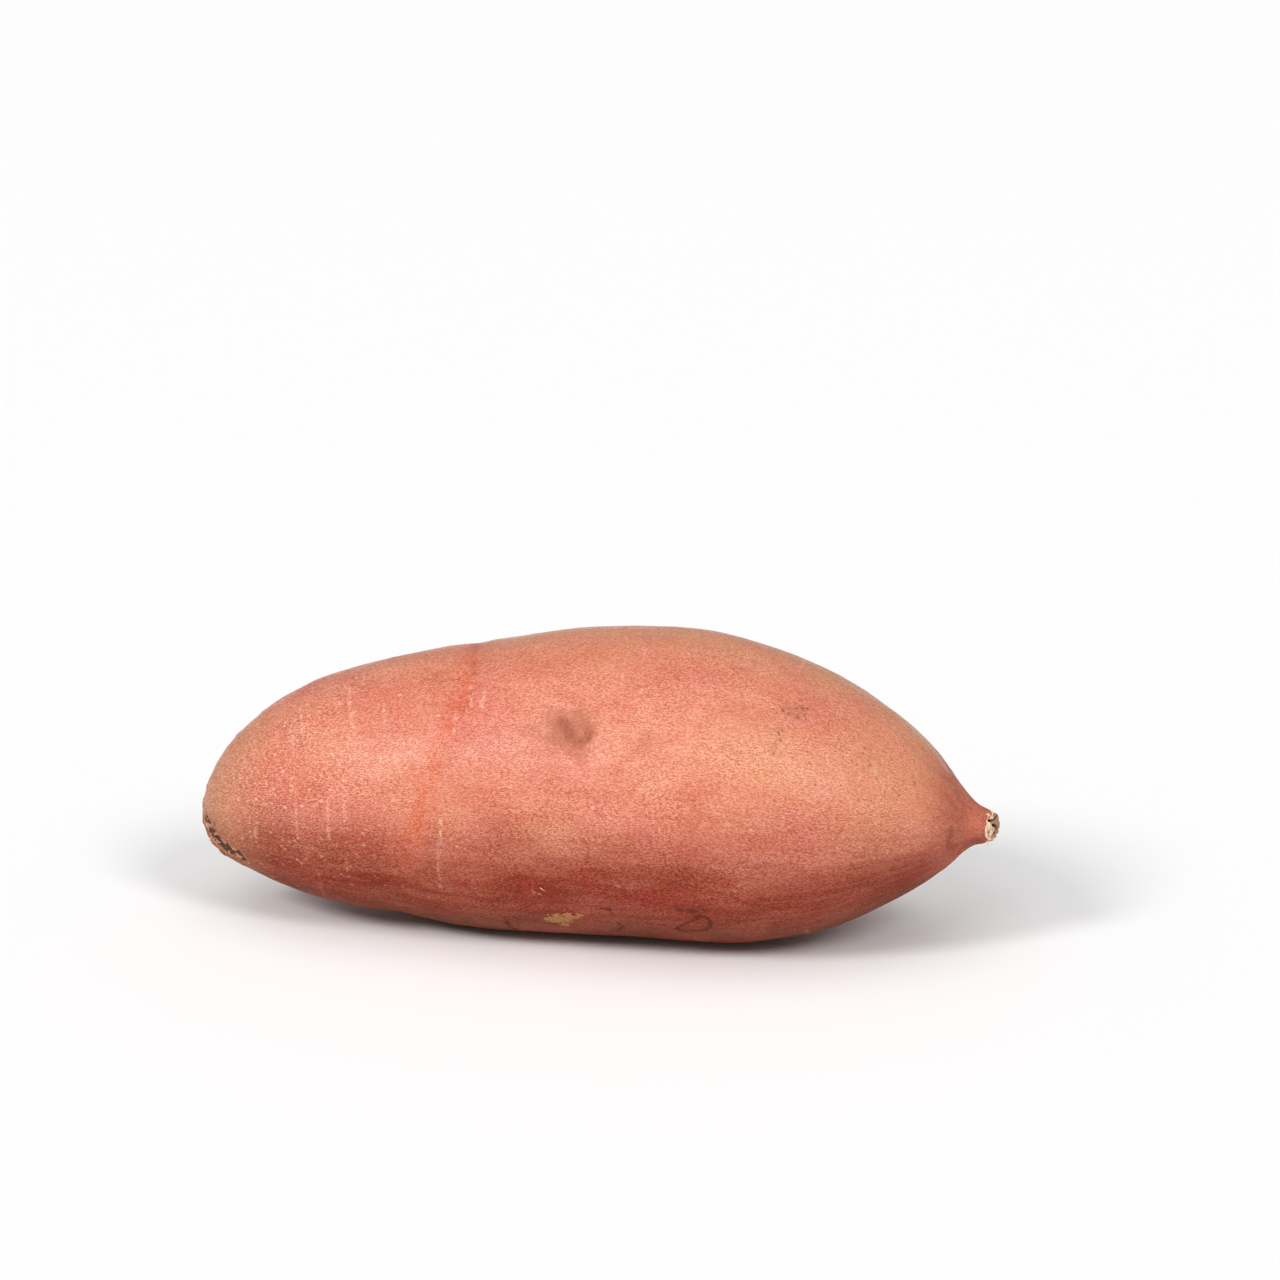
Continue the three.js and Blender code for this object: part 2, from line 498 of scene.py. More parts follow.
SMUDGES = [
    (-7.4, 33, 2.4, 1.4, 0.7), (7.6, -45, 5, 0.8, 0.6), (-0.2, -47, 2.6, 1, 0.6),
    (66.4, 40, 1.3, 0.9, 0.8), (67.1, 84, 1.2, 1, 0.8), (61.8, -19, 3.4, 0.8, 0.6),
    (60.2, -12, 2, 0.7, 0.5), (42, 54, 3, 1.6, 0.55), (-20, 178, 4, 1.4, 0.8),
    (35, 205, 5, 1.5, 0.6), (-55, 140, 3, 1.5, 0.7), (55, 130, 3, 1.2, 0.7),
    (-10, 240, 5, 2, 0.6), (10, 130, 2.5, 1.4, 0.6), (60, 225, 4, 1, 0.6),
    (-62, 95, 3, 1.2, 0.5),
]
DARK_SMUDGES = [(24.6, -33.5, 2.8), (21.6, -34, 2), (27, -32.4, 1.8), (-5, -50, 1.6)]
for x, degrees, size, stretch, strength in SMUDGES:
    lift += draw_patch("brown_patches", x, degrees, size, stretch, strength, -0.05)
for x, degrees, size in DARK_SMUDGES:
    lift += draw_patch("dark_lines", x, degrees, size, 1.8, 0.85, -0.05)

SPECKS = [
    (41.4, 55, 4, 1, 1), (43.6, 54.5, 3.4, 1.2, 1), (44, 59, 2.8, 1, 1),
    (40.2, 43.5, 2.8, 0.7, 0.9), (39.9, 37, 2.8, 0.6, 0.9), (-21.9, 14, 2.2, 1, 0.8),
    (58, 46, 6, 1.3, 0.5), (64, 26, 5, 1, 0.45), (8, -45, 3, 0.8, 0.7),
    (66.4, 40, 1.6, 1, 0.9), (30, 165, 3, 1.4, 0.8), (-8, 155, 2.5, 1, 0.8),
    (48, 110, 4, 1.3, 0.6), (-36, 200, 3, 1, 0.7),
]
for x, degrees, size, stretch, strength in SPECKS:
    draw_patch("specks", x, degrees, size, stretch, strength)
    draw_patch("brown_patches", x, degrees, size, stretch, 0.7 * strength)

STAINS = [
    (-7.9, -20, 2.6, 0.5, 1), (-8.2, -26, 4.4, 1, 1), (-22.6, -26, 2.8, 1.2, 0.9),
    (3.9, -13, 4, 0.5, 0.8), (3.6, -23, 5, 0.5, 1), (-3, -15, 5, 2.2, 0.5),
    (31.8, -19, 3.2, 0.6, 0.6), (31.4, -27, 3, 0.6, 0.7), (43.2, -23, 2.6, 0.6, 0.7),
    (42.8, -30, 2.4, 0.6, 0.6), (13.8, 29, 9, 1.1, 0.4), (15, -29, 5, 2.6, 0.9),
    (21, -28, 4, 1.8, 0.8), (3.6, -6, 3, 0.35, 0.6), (8, 10, 9, 1.5, 0.3),
    (-34, -14, 4.5, 0.8, 0.6), (38, 17, 7, 1.3, 0.25), (-31, 62, 5, 1.1, 0.5),
    (-44, 66, 7, 1.6, 0.3), (-16, 200, 9, 1.4, 0.5), (28, 185, 11, 1.3, 0.5),
    (-40, 160, 8, 1.2, 0.4), (50, 165, 6, 1.3, 0.4),
]
for x, degrees, size, stretch, strength in STAINS:
    lift += draw_patch("rose_stains", x, degrees, size, stretch, strength)

ROOTLETS = [
    [(-8.6, -26), (-7.6, -29), (-6.3, -30.6)], [(-8, -28), (-8.9, -31.5)],
    [(8.9, -23), (11, -23.9), (14.3, -23.2)],
]
for rootlet in ROOTLETS:
    lift += draw_stroke(rootlet, 0.2, 1)
lift += draw_patch("pale_strokes", -25.4, 69.5, 3.4, 1.2, 0.9, 0.08)
print("scars:", len(CRACKS) + len(FLAKES) + len(SMUDGES) + 1, "stains:", len(STAINS))

# %% [markdown]
# ## Broad zones of colour
#
# Light, soil and storage tint a root unevenly. This one is tan to olive along the top, redder low
# on the belly, thick with pores near the tail, and finely pitted towards the neck. The belly is
# also darkened as painted shade, and a paler tan patch on the front shoulder is a painted
# highlight.

# %% Paint the broad zones
SUNNY_SIDE = 98  # the angle round the root that is tanned most

to_top = np.abs((round_root - SUNNY_SIDE + 180) % 360 - 180)
low = -up + 0.1 * grain(9, 17)
belly = smooth((low + 0.22) / 0.75)
under = smooth((low - 0.6) / 0.25)
top = smooth(1 - to_top / 46)
neck_side = 0.4 * smooth((along - 10) / 30) * smooth((low + 0.45) / 0.6)
# Redder low on the belly and on the low side of the neck, and darkened there as painted shade.
mark("red_and_shaded_belly", np.maximum(belly, neck_side) * (0.97 + 0.16 * grain(22, 11)))
mark("belly_olive", under * smooth(0.75 + 1.2 * grain(13, 12)))
mark("tan_and_sheen", top * smooth((along + 70) / 80) * smooth(0.8 + 0.6 * grain(15, 13)))
mark("tail_tan", 0.9 * smooth((-62 - along) / 15) * (0.85 + 0.4 * grain(6, 14)))
mark("tan_and_sheen", 0.5 * smooth((along - 42) / 16) * smooth((76 - along) / 6) * smooth(up + 0.4))
# A painted highlight: a paler tan patch on the front shoulder.
highlit_shoulder = distance_to_spot(43, 32, 2) + 3 * grain(9, 18)
mark("tan_and_sheen", 0.7 * smooth(fade(highlit_shoulder, 15)))
mark("pore_crowd", smooth((-30 - along) / 30) * (0.85 + 0.5 * grain(9, 15)))
mark("pits", smooth((along - 34) / 18) * smooth((74 - along) / 8) * smooth(0.4 + grain(11, 16)))
mark("warm_neck", smooth((along - 66) / 8))
# Folds round the neck, sunk and darkened with painted shade, most of it under the neck.
NECK_FOLDS = [[(74.6, -50), (76.4, -42), (78.2, -38)], [(73.6, 4), (73.2, -16), (74.4, -32)]]
for stops in NECK_FOLDS:
    neck_fold = distance_to_line(stops) + 0.5 * wander
    mark("shaded_folds", 0.8 * fade(neck_fold, 2))
    lift -= 0.25 * fade(neck_fold, 1.2)
print("zones:", ", ".join(sorted(marks)))

# %% [markdown]
# ## The corky tail
#
# The tail is where the thin root end broke off. It healed into a blunt, warty cap with a pitted,
# almost black scar along its lower front edge.

# %% Roughen the tail
TAIL_SCAR = [(-80.3, -18), (-79, -32), (-77.2, -41), (-74.8, -43), (-72.4, -46)]
tail_gap = distance_to_line(TAIL_SCAR) + 0.9 * wander
cork = fade(tail_gap, 3.4)
pitting = grain(0.9, 21)
mark("corky_tail", smooth(1.4 * cork))
mark("black_scar", smooth(2.4 * fade(tail_gap, 2.7)) * smooth(0.95 - 1.6 * pitting))
lift += smooth(cork * 2) * (-0.5 + 0.6 * pitting)
lift += 0.2 * tail_share * smooth(1.5 * grain(1.3, 22) - 0.2)
# The cap's edge is sunk and darkened with painted shade.
CAP_EDGE = [(-79, -6), (-77.4, -14), (-77.2, -26), (-75.2, -34)]
cap_edge = distance_to_line(CAP_EDGE) + 0.5 * wander
mark("shaded_folds", 0.5 * fade(cap_edge, 2))
lift -= 0.25 * fade(cap_edge, 1.6)
KNOBS = [(-80.6, 8), (-79.3, -12), (-78.6, -30), (-76.2, 20), (-77, -62), (-75, 60)]
for x, degrees in KNOBS:
    lift += draw_patch("corky_tail", x, degrees, 1.2, 1, 0.4, 0.22)
print("corky points:", int((cork > 0.2).sum()))

# %% [markdown]
# ## The cut neck
#
# The vine was torn rather than sliced away, so the cut is a small disc of cream flesh with a
# ragged rim and dark crevices between its fibres. Its points only ever move back into the root.

# %% Tear the cut
NECK_END = 78.6  # the torn end begins here

cut_lean = ring_lean(SLANT_TO)
cut_facing = np.array([math.cos(cut_lean), -math.sin(cut_lean), 0])
cut_sideways = np.array([math.sin(cut_lean), math.cos(cut_lean), 0])
facing_cut = outward @ cut_facing
on_neck_end = along > NECK_END
on_cut = smooth((facing_cut - 0.72) / 0.2) * on_neck_end
cut_points = skin[(on_cut > 0.9)]
cut_centre = (cut_points.min(0) + cut_points.max(0)) / 2
sideways = (skin - cut_centre) @ cut_sideways
upward = skin[:, 2] - cut_centre[2]
from_centre = np.hypot(sideways, upward)
cut_size = from_centre[on_cut > 0.9].max()

CREVICES = [  # lines of places on the cut, sideways and upward from its centre
    [(-1.7, 1.7), (-0.3, 1.3), (-0.2, 0.6), (0.7, 0.1), (1.7, -0.4)],
    [(-0.3, 1.3), (0.7, 1.3), (1.7, 1.7)], [(2, -0.7), (1.4, -1.2), (0.6, -1.6), (-0.1, -2.2)],
    [(-1.2, 2.5), (-1, 2.8)], [(-1.9, -0.6), (-1.7, -1.6)],
]


def distance_on_cut(stops):
    """Distance in mm from every point to a line drawn on the cut, sideways and upward."""
    nearest = np.full(len(skin), FAR)
    for (a, b), (c, d) in zip(stops, stops[1:]):
        run_a, run_b = c - a, d - b
        share = ((sideways - a) * run_a + (upward - b) * run_b) / (run_a**2 + run_b**2)
        share = np.clip(share, 0, 1)
        gap = np.hypot(sideways - a - share * run_a, upward - b - share * run_b)
        nearest = np.minimum(nearest, gap)
    return nearest


torn = grain(0.55, 31)
shreds = grain(0.28, 32)
crevice = np.max([fade(distance_on_cut(c) + 0.28 * torn, 0.42) for c in CREVICES], axis=0)
inner = smooth((cut_size * 1.02 - from_centre) / 0.7)
tear = on_cut * (inner * (0.28 + 0.22 * torn + 0.1 * shreds) + 0.95 * smooth(crevice * 1.3))
rim = fade(np.abs(from_centre - cut_size), 0.6) * smooth((facing_cut + 0.1) / 0.5) * on_neck_end
tear += rim * np.clip(0.25 + 0.5 * grain(0.7, 33), 0, 1)
mark("flesh", np.maximum(on_cut, rim * smooth(0.4 + grain(0.5, 34))))
mark("crevices", on_cut * smooth(crevice * 1.5))
brown_side = smooth((sideways + 0.3 + torn) / 1.4)
mark("brown_fibres", on_cut * np.maximum(brown_side, smooth(1.2 * grain(0.8, 35))))
print("cut is", round(2 * float(cut_size), 1), "mm across")

# %% Move the skin
INSET = 0.1  # the whole skin sinks this much, so that its marks have room to rise
FLOOR_GAP = 2.5  # below this height the skin moves less, and keeps its flat resting spot
WALL = 0.02  # the least distance kept to the frame's box
low_corner, high_corner = (np.array(corner) / MM for corner in cad_box)


def keep_in_box(places):
    """Moves points that reach past the frame's box back inside it."""
    return np.clip(places, low_corner + WALL, high_corner - WALL)


clear_of_floor = smooth(skin[:, 2] / FLOOR_GAP)
quiet = 1 - on_cut
lift -= INSET
skin += outward * (lift * quiet * (0.25 + 0.75 * clear_of_floor))[:, None]
skin -= cut_facing * np.maximum(tear, 0)[:, None]
skin = keep_in_box(skin)
place_points(root, skin)
root.data.update()

for kind, share in marks.items():
    keep_field(root, kind, np.clip(share, 0, 1))
layer = root.data.attributes.new("grown", "FLOAT_VECTOR", "POINT")
layer.data.foreach_set("vector", on_unrolled(1).astype(np.float32).ravel())
print("marks kept on the mesh:", len(marks))

# %% [markdown]
# ## Torn fibres and root hairs
#
# A few stiff hairs stand out of the torn rim and from a scar on the belly. One hair is modelled,
# a thin cone with rings along it, and bent copies of it are set in place and joined to the root.

# %% Make and plant the hairs
HAIR_FOOT = 0.15  # a hair starts this far under the skin
HAIR_FLESH = 0.85  # the flesh field on a hair, enough to give it the flesh's colour
HAIRS = [  # distance along, angle round, length, lean towards the neck, lean round
    (81.0, 70, 1.9, 0.75, 0.2), (80.7, 100, 1.3, 0.5, -0.4), (80.4, -50, 1.5, -0.5, 0.1),
    (80.2, -75, 1.2, -0.2, -0.6), (80.4, 20, 1.1, 0.6, 0.5), (-6.4, -27, 1.5, 0.8, 0.4),
    (-79.2, -47, 1.4, -0.8, -0.3), (-77.8, -38, 1, -0.4, 0.6), (-80, 5, 0.9, -0.9, 0.1),
]


def model_hair():
    """One straight hair, a millimetre long, with rings to bend at."""
    bpy.ops.object.select_all(action="DESELECT")
    bpy.ops.mesh.primitive_cone_add(vertices=6, radius1=0.13 * MM, radius2=0.04 * MM, depth=MM)
    hair = bpy.context.object
    bpy.ops.object.mode_set(mode="EDIT")
    for cut in (-0.25, 0, 0.25):
        bpy.ops.mesh.select_all(action="SELECT")
        bpy.ops.mesh.bisect(plane_co=(0, 0, cut * MM), plane_no=(0, 0, 1))
    bpy.ops.object.mode_set(mode="OBJECT")
    return hair


pattern_hair = model_hair()
hair_shape = read_points(pattern_hair, "co") / MM
hair_shape[:, 2] += 0.5
hairs = []
for x, degrees, length, lean_along, lean_round in HAIRS:
    hair = pattern_hair.copy()
    hair.data = pattern_hair.data.copy()
    bpy.context.scene.collection.objects.link(hair)
    off_address = np.hypot(along - x, (round_root - degrees) * 0.1)
    foot = skin[np.argmin(off_address + 9 * (on_cut > 0.9))]
    y, z, _, _ = root_line(min(x, NECK_X))
    out = np.array([0, foot[1] - y, foot[2] - z])
    out /= np.linalg.norm(out)
    ring = np.cross(out, (1, 0, 0))
    share_up = np.clip(hair_shape[:, 2], 0, 1)
    rise, bend = share_up * length, share_up**1.6 * length
    body = foot - HAIR_FOOT * out + np.outer(rise, out)
    body += np.outer(bend * lean_along + hair_shape[:, 0], (1, 0, 0))
    body += np.outer(bend * lean_round + hair_shape[:, 1], ring)
    place_points(hair, keep_in_box(body))
    keep_field(hair, "flesh", np.full(len(body), HAIR_FLESH))
    hairs.append(hair)
bpy.data.objects.remove(pattern_hair)

select_only(root)
for hair in hairs:
    hair.select_set(True)
bpy.ops.object.join()
select_only(root)
bpy.ops.object.shade_smooth()
print("hairs:", len(hairs), "triangles:", sum(len(p.vertices) - 2 for p in root.data.polygons))

# %% [markdown]
# ## The skin's finish
#
# Sweet potato skin is thin and satin, copper pink over orange flesh. Seen close it is a mesh of
# tiny lengthwise wrinkles, paler on their ridges. One material holds it all: a mottled base, the
# wrinkles, pores and pits, and then the marks drawn above, laid over one another like glazes.
# Sizes in the material are in millimetres, because its coordinates are scaled to millimetres.

# %% Tools that wire a finish
finish = bpy.data.materials.new("sweet_potato_skin")
finish.use_nodes = True
nodes, links = finish.node_tree.nodes, finish.node_tree.links
nodes.clear()


def node(kind, inputs, **settings):
    """Adds a node, plugs other nodes' sockets into it and sets its other inputs."""
    new = nodes.new(kind)
    for name, value in settings.items():
        setattr(new, name, value)
    for name, value in inputs.items():
        if isinstance(value, bpy.types.NodeSocket):
            links.new(value, new.inputs[name])
        else:
            new.inputs[name].default_value = value
    return new


def maths(operation, first, second=0.0, third=0.0):
    """One step of arithmetic, such as first times second plus third for MULTIPLY_ADD."""
    inputs = {0: first, 1: second, 2: third}
    return node("ShaderNodeMath", inputs, operation=operation).outputs[0]


def ramp(value, low, high, to_low=0.0, to_high=1.0):
    """Eases a value between low and high into the range from to_low to to_high."""
    inputs = {
        "Value": value, "From Min": low, "From Max": high, "To Min": to_low, "To Max": to_high,
    }
    return node("ShaderNodeMapRange", inputs, interpolation_type="SMOOTHSTEP").outputs["Result"]


def scaled(coordinates, scale, shift=(0, 0, 0)):
    """Coordinates scaled along each axis and moved, so that two noises do not match."""
    inputs = {"Vector": coordinates, "Scale": scale, "Location": shift}
    return node("ShaderNodeMapping", inputs).outputs["Vector"]


def lumps(coordinates, size, detail=2.0, roughness=0.5, distortion=0.0):
    """Noise whose lumps have the given size in mm."""
    inputs = {
        "Vector": coordinates, "Scale": 1 / size, "Detail": detail,
        "Roughness": roughness, "Distortion": distortion,
    }
    return node("ShaderNodeTexNoise", inputs).outputs["Fac"]


def cells(coordinates, size):
    """Cells of the given size in mm, each with its own colour and the distance to its middle."""
    return node("ShaderNodeTexVoronoi", {"Vector": coordinates, "Scale": 1 / size})


def field(kind):
    """A mark drawn on the skin's points."""
    return node("ShaderNodeAttribute", {}, attribute_name=kind).outputs["Fac"]


def paint(red, green, blue):
    """A paint mixed from 0 to 255 levels, as the linear colour that the shader wants."""
    levels = (v / 255 for v in (red, green, blue))
    return (*(v / 12.92 if v < 0.04045 else ((v + 0.055) / 1.055) ** 2.4 for v in levels), 1)


def glaze(under_coat, share, over_coat):
    """Lays one colour over another by a share."""
    inputs = {0: share, 6: under_coat, 7: over_coat}
    return node("ShaderNodeMix", inputs, data_type="RGBA").outputs[2]


# %% Coordinates of the finish
place = scaled(node("ShaderNodeTexCoord", {}).outputs["Object"], (1000, 1000, 1000))
grown_place = node("ShaderNodeAttribute", {}, attribute_name="grown").outputs["Vector"]
lengthwise = scaled(grown_place, (0.38, 1, 1))

# %% Paints
SALMON, ROSE, PEACH = paint(212, 131, 105), paint(209, 122, 103), paint(220, 151, 118)
# The belly paint is the skin's red, deepened as painted shade.
BRICK, BELLY_RED_AND_SHADE, BELLY_OLIVE = paint(194, 98, 70), paint(132, 38, 0), paint(112, 54, 6)
# The top's tan paint also serves as a painted highlight on the front shoulder.
TAN_AND_SHEEN, TAIL_TAN = paint(212, 148, 106), paint(190, 130, 90)
EMBER, WINE, NECK_RED = paint(204, 98, 66), paint(150, 46, 30), paint(178, 92, 70)
CORK_CREAM, CORK_TAN = paint(240, 184, 158), paint(196, 134, 104)
# The scar brown also paints the shade in folds.
EYE_TAN, SCAR_BROWN_AND_SHADE = paint(180, 116, 86), paint(140, 72, 54)
FLAKE_TAN, CRACK_BROWN, PIT_BROWN = paint(170, 120, 64), paint(86, 38, 24), paint(132, 64, 42)
FLESH_CREAM, FLESH_SHADE = paint(255, 226, 196), paint(236, 176, 138)
FLESH_BROWN, CREVICE_BROWN = paint(152, 92, 60), paint(52, 24, 14)

# %% Mottled base
slow = lumps(place, 26, 1)
tanning = lumps(scaled(place, (1, 1, 1), (0, 70, 0)), 17, 1)
flush = lumps(scaled(place, (0.8, 1, 1), (40, 0, 0)), 8, 2, 0.5)
blotches = lumps(scaled(place, (0.8, 1, 1), (0, 0, 90)), 3.2, 2, 0.55)
colour = glaze(SALMON, ramp(slow, 0.35, 0.68), ROSE)
colour = glaze(colour, ramp(tanning, 0.4, 0.75, 0, 0.42), PEACH)
colour = glaze(colour, ramp(flush, 0.38, 0.8, 0, 0.4), BRICK)
colour = glaze(colour, ramp(blotches, 0.35, 0.8, 0, 0.3), BRICK)

# %% Lengthwise seams
seams = lumps(scaled(grown_place, (0.13, 1, 1), (0, 0, 25)), 2, 2, 0.55)
seam_depth = maths("MULTIPLY_ADD", field("red_and_shaded_belly"), 0.5, 0.24)
colour = glaze(colour, maths("MULTIPLY", ramp(seams, 0.48, 0.72), seam_depth), BRICK)

# %% Broad zones
def patchy(kind, least, most, edge=0.7):
    """A field's share, from least between the blotches to most on them."""
    return maths("MULTIPLY", field(kind), ramp(blotches, 0.3, edge, least, most))


# The belly's red, deepened further as painted shade.
belly_share = maths("MULTIPLY", field("red_and_shaded_belly"), ramp(flush, 0.2, 0.7, 0.88, 1))
belly_share = maths("MULTIPLY", belly_share, ramp(seams, 0.3, 0.6, 0.84, 1))
colour = glaze(colour, belly_share, BELLY_RED_AND_SHADE)
colour = glaze(colour, patchy("belly_olive", 0.4, 0.8, 0.65), BELLY_OLIVE)
# Tan along the top, and a painted highlight on the front shoulder.
colour = glaze(colour, patchy("tan_and_sheen", 0.5, 0.9), TAN_AND_SHEEN)
colour = glaze(colour, patchy("tail_tan", 0.5, 0.9), TAIL_TAN)
colour = glaze(colour, maths("MULTIPLY", field("warm_neck"), 0.8), NECK_RED)
colour = glaze(colour, patchy("blush", 0.4, 0.85), EMBER)
stains = ramp(maths("MULTIPLY_ADD", blotches, 0.5, field("rose_stains")), 0.36, 1.15)
colour = glaze(colour, maths("MULTIPLY", stains, 0.7), WINE)

# %% Wrinkles
streaks = lumps(lengthwise, 0.24, 1, 0.5, 0.2)
flecks = lumps(scaled(place, (1, 1, 1), (9, 5, 0)), 0.24, 0)
wrinkle = maths("ADD", ramp(streaks, 0.3, 0.7, 0, 0.6), ramp(flecks, 0.28, 0.72, 0, 0.4))
squiggle = lumps(scaled(grown_place, (0.7, 1, 1), (0, 0, 40)), 0.95, 1, 0.5)
ridges = ramp(maths("ABSOLUTE", maths("SUBTRACT", squiggle, 0.5)), 0, 0.05, 1, 0)
coarse_areas = ramp(lumps(scaled(place, (1, 1, 1), (0, 9, 3)), 9, 1), 0.35, 0.65, 0.65, 1.1)
coarseness = maths("MULTIPLY_ADD", field("pore_crowd"), 0.6, coarse_areas)
coarseness = maths("MULTIPLY_ADD", field("red_and_shaded_belly"), 0.45, coarseness)
grain_tone = maths("MULTIPLY", maths("SUBTRACT", wrinkle, 0.5), maths("MULTIPLY", coarseness, 0.62))
tone = maths("ADD", maths("MULTIPLY_ADD", ridges, 0.05, 0.93), grain_tone)
paleness = ramp(wrinkle, 0.2, 0.8, 1.06, 0.92)
tint = node("ShaderNodeHueSaturation", {"Color": colour, "Value": tone, "Saturation": paleness})
colour = tint.outputs["Color"]

# %% Breathing pores and pits
ragged = maths("MULTIPLY", flecks, 0.34)


def dots(coordinates, size, crowd, smallest, spread, edge):
    """Ragged dots of mixed sizes, one in the middle of each cell that the crowd lets through."""
    cell = cells(coordinates, size)
    pick = node("ShaderNodeSeparateColor", {"Color": cell.outputs["Color"]})
    there = maths("LESS_THAN", pick.outputs[0], crowd)
    reach = maths("MULTIPLY_ADD", pick.outputs[1], spread, smallest)
    gap = maths("SUBTRACT", maths("ADD", cell.outputs["Distance"], ragged), reach)
    return maths("MULTIPLY", ramp(gap, 0.1, edge, 1, 0), there)


pore_crowd = maths("MULTIPLY_ADD", field("pore_crowd"), 0.85, 0.015)
pores = dots(scaled(place, (0.7, 1, 1), (3, 0, 0)), 1.3, pore_crowd, 0.12, 0.14, 0.22)
pore_tone = maths("MULTIPLY_ADD", field("red_and_shaded_belly"), -0.24, 0.54)
colour = glaze(colour, maths("MULTIPLY", pores, pore_tone), CORK_CREAM)

pit_crowd = maths("MULTIPLY_ADD", field("specks"), 1.2, 0.06)
pit_crowd = maths("MULTIPLY_ADD", field("pits"), 0.55, pit_crowd)
smallest_pit = maths("MULTIPLY_ADD", field("specks"), 0.24, 0.07)
pits = dots(scaled(place, (1, 1, 1), (0, 31, 0)), 1.2, pit_crowd, smallest_pit, 0.12, 0.24)
pit_depth = maths("MULTIPLY_ADD", field("specks"), 0.3, 0.48)
colour = glaze(colour, maths("MULTIPLY", pits, pit_depth), PIT_BROWN)

# %% Drawn marks
broken = lumps(scaled(place, (1, 1, 1), (0, 0, 17)), 0.7, 2, 0.6)
stroke_edge = maths("MULTIPLY_ADD", broken, 1.3, field("pale_strokes"))
strokes = ramp(stroke_edge, 1.28, 1.66)
stroke_tone = maths("MULTIPLY_ADD", field("red_and_shaded_belly"), -0.24, 0.5)
colour = glaze(colour, maths("MULTIPLY", strokes, stroke_tone), CORK_CREAM)

patch_edge = maths("MULTIPLY_ADD", maths("ADD", blotches, broken), 0.8, field("brown_patches"))
patches = ramp(patch_edge, 0.98, 1.65)
patch_colour = glaze(EYE_TAN, ramp(flecks, 0.4, 0.62, 0, 0.7), SCAR_BROWN_AND_SHADE)
colour = glaze(colour, maths("MULTIPLY", patches, 0.6), patch_colour)

flakes = ramp(maths("MULTIPLY_ADD", broken, 1.6, field("tan_flakes")), 1.06, 1.26)
flake_colour = glaze(FLAKE_TAN, ramp(broken, 0.45, 0.6, 0, 0.5), CORK_TAN)
colour = glaze(colour, maths("MULTIPLY", flakes, 0.85), flake_colour)
tail_cork = ramp(maths("MULTIPLY_ADD", broken, 0.8, field("corky_tail")), 0.7, 1.1)
crumbs = glaze(CORK_TAN, ramp(flecks, 0.45, 0.62), CORK_CREAM)
colour = glaze(colour, maths("MULTIPLY", tail_cork, 0.75), crumbs)
# Folds are darkened with painted shade.
fold_edge = maths("MULTIPLY_ADD", maths("ADD", blotches, broken), 0.5, field("shaded_folds"))
folds = ramp(fold_edge, 0.68, 1.4)
fold_shade_share = maths("MULTIPLY", folds, ramp(flecks, 0.32, 0.66, 0.34, 0.74))
colour = glaze(colour, fold_shade_share, SCAR_BROWN_AND_SHADE)
cracks = ramp(maths("MULTIPLY_ADD", broken, 0.7, field("dark_lines")), 0.85, 1.2)
colour = glaze(colour, maths("MULTIPLY", cracks, 0.75), CRACK_BROWN)
char = ramp(maths("MULTIPLY_ADD", broken, 1.1, field("black_scar")), 1, 1.45)
colour = glaze(colour, maths("MULTIPLY", char, 0.86), CREVICE_BROWN)

# %% Torn flesh
flesh = ramp(field("flesh"), 0.35, 0.6)
flesh_colour = glaze(FLESH_CREAM, ramp(lumps(place, 0.5, 3, 0.6), 0.48, 0.66), FLESH_SHADE)
flesh_colour = glaze(flesh_colour, maths("MULTIPLY", field("brown_fibres"), 0.75), FLESH_BROWN)
flesh_colour = glaze(flesh_colour, field("crevices"), CREVICE_BROWN)
colour = glaze(colour, flesh, flesh_colour)

# %% Relief and sheen of the skin
rough_marks = maths("MAXIMUM", maths("MAXIMUM", patches, tail_cork), flesh)
HEIGHTS = [  # what stands out of the skin or sinks into it, and by how many millimetres
    (ridges, 0.014), (pores, 0.07), (pits, -0.07), (folds, -0.1), (strokes, 0.05), (flakes, 0.06),
    (maths("MAXIMUM", cracks, char), -0.14), (maths("MULTIPLY", rough_marks, flecks), 0.12),
]
skin_relief = maths("MULTIPLY", maths("MULTIPLY", wrinkle, coarseness), 0.038)
for what, height in HEIGHTS:
    skin_relief = maths("MULTIPLY_ADD", what, height, skin_relief)
relief = node("ShaderNodeBump", {"Height": skin_relief, "Distance": MM, "Strength": 1.0})

dullness = maths("MULTIPLY_ADD", field("red_and_shaded_belly"), 0.4, ramp(blotches, 0.3, 0.7, 0.22, 0.28))
dull_marks = pores
for what in (strokes, rough_marks, cracks, folds, char):
    dull_marks = maths("MAXIMUM", dull_marks, what)
roughness = maths("MULTIPLY_ADD", dull_marks, 0.3, dullness)
skin_shader = node("ShaderNodeBsdfPrincipled", {
    "Base Color": colour, "Roughness": roughness, "Normal": relief.outputs["Normal"],
})
skin_shader.inputs["Specular IOR Level"].default_value = 0.28
skin_shader.inputs["IOR"].default_value = 1.42
node("ShaderNodeOutputMaterial", {"Surface": skin_shader.outputs[0]})
root.data.materials.clear()
root.data.materials.append(finish)
print("nodes in the finish:", len(nodes))

# %% [markdown]
# ## Tying the root to the frame
#
# The frame's solid stays where it is for the physics, but it isn't shown: the root stands for it.

# %% Ride on the frame
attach(root, "root")
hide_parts("sweet_potato")

# %% [markdown]
# ## Floor, light and camera
#
# A plain pale floor and soft, large lights show the skin best. Three lights at shoulder height,
# from the front left, the front and the front right, put a satin sheen along the root. A wide
# one overhead and the pale world fill the shadows.

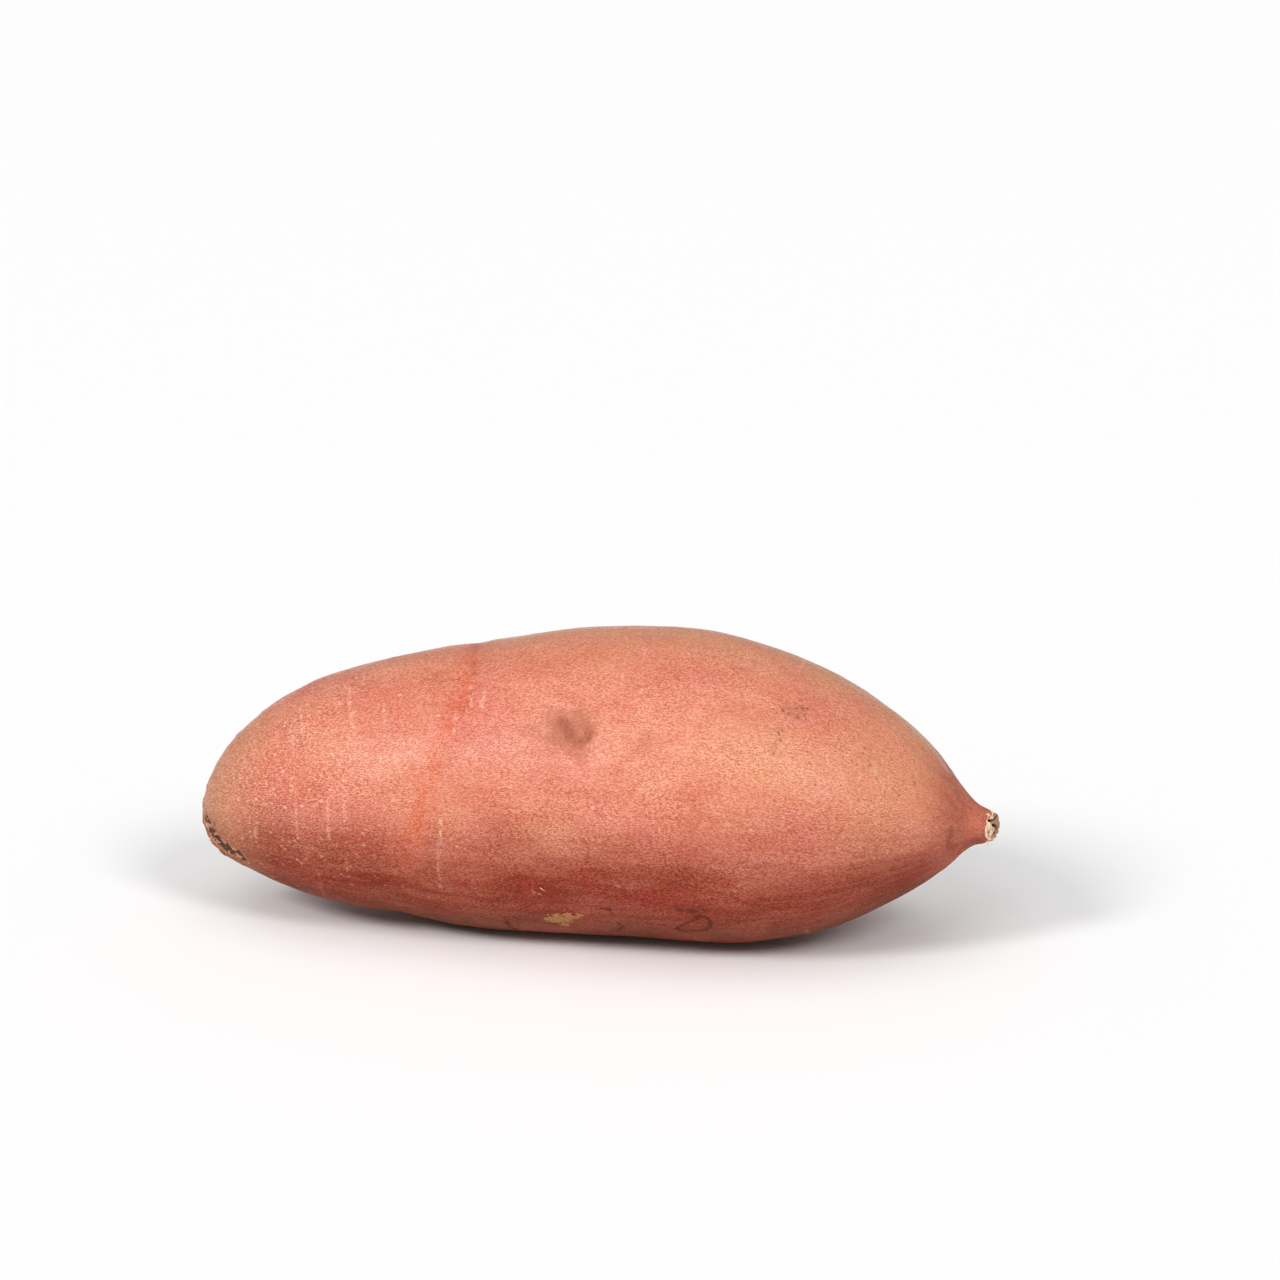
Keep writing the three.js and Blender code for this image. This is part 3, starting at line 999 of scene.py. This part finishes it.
# %% Lay the floor
bpy.ops.object.select_all(action="DESELECT")
bpy.ops.mesh.primitive_plane_add(size=12, location=(0, 0, 0))
floor = bpy.context.object
floor.name = "floor"
floor_paint = bpy.data.materials.new("floor_paint")
floor_paint.use_nodes = True
floor_shader = floor_paint.node_tree.nodes["Principled BSDF"]
floor_shader.inputs["Base Color"].default_value = (0.9, 0.9, 0.9, 1)
floor_shader.inputs["Roughness"].default_value = 0.9
floor_shader.inputs["Specular IOR Level"].default_value = 0.1
floor.data.materials.append(floor_paint)

# %% Hang the lights
LAMPS = [  # name, turn from the front in degrees, height in degrees, how wide it looks, strength
    ("left_light", -38, 35, 16, 1.5),
    ("front_light", -8, 38, 20, 0.45),
    ("right_light", 43, 37, 18, 1.2),
    ("overhead_light", 0, 75, 60, 0.64),
]
for name, turn, height, width, strength in LAMPS:
    lamp = bpy.data.lights.new(name, "SUN")
    lamp.angle, lamp.energy = math.radians(width), strength
    holder = bpy.data.objects.new(name, lamp)
    bpy.context.scene.collection.objects.link(holder)
    a, e = math.radians(turn), math.radians(height)
    way = Vector((math.sin(a) * math.cos(e), -math.cos(a) * math.cos(e), math.sin(e)))
    holder.location = Vector((0, 0, 0.03)) + way
    holder.rotation_euler = (-way).to_track_quat("-Z", "Y").to_euler()

world = bpy.data.worlds.new("studio")
world.use_nodes = True
world.node_tree.nodes["Background"].inputs["Color"].default_value = (1, 1, 1, 1)
world.node_tree.nodes["Background"].inputs["Strength"].default_value = 0.32
bpy.context.scene.world = world
bpy.context.scene.view_settings.view_transform = "Standard"

# %% Place the camera
TURN, HEIGHT = math.radians(10), math.radians(15)  # a little towards the neck, a little from above
LENS, SENSOR = 135, 36
VIEW_WIDTH = 0.2602  # what the picture takes in at the root, in metres
AIM = Vector((0.7, 0, 30.5)) * MM
RIGHT_OF_AIM, ABOVE_AIM = 8.1 * MM, 29.3 * MM  # the root sits low in the picture, with space above

level = math.cos(HEIGHT)
back = Vector((math.sin(TURN) * level, -math.cos(TURN) * level, math.sin(HEIGHT)))
right = Vector((math.cos(TURN), math.sin(TURN), 0))
upright = back.cross(right)
view = bpy.data.cameras.new("camera")
view.lens, view.sensor_width = LENS, SENSOR
camera = bpy.data.objects.new("camera", view)
bpy.context.scene.collection.objects.link(camera)
distance = VIEW_WIDTH * LENS / SENSOR
camera.location = AIM + back * distance + right * RIGHT_OF_AIM + upright * ABOVE_AIM
camera.rotation_euler = (-back).to_track_quat("-Z", "Y").to_euler()
bpy.context.scene.camera = camera
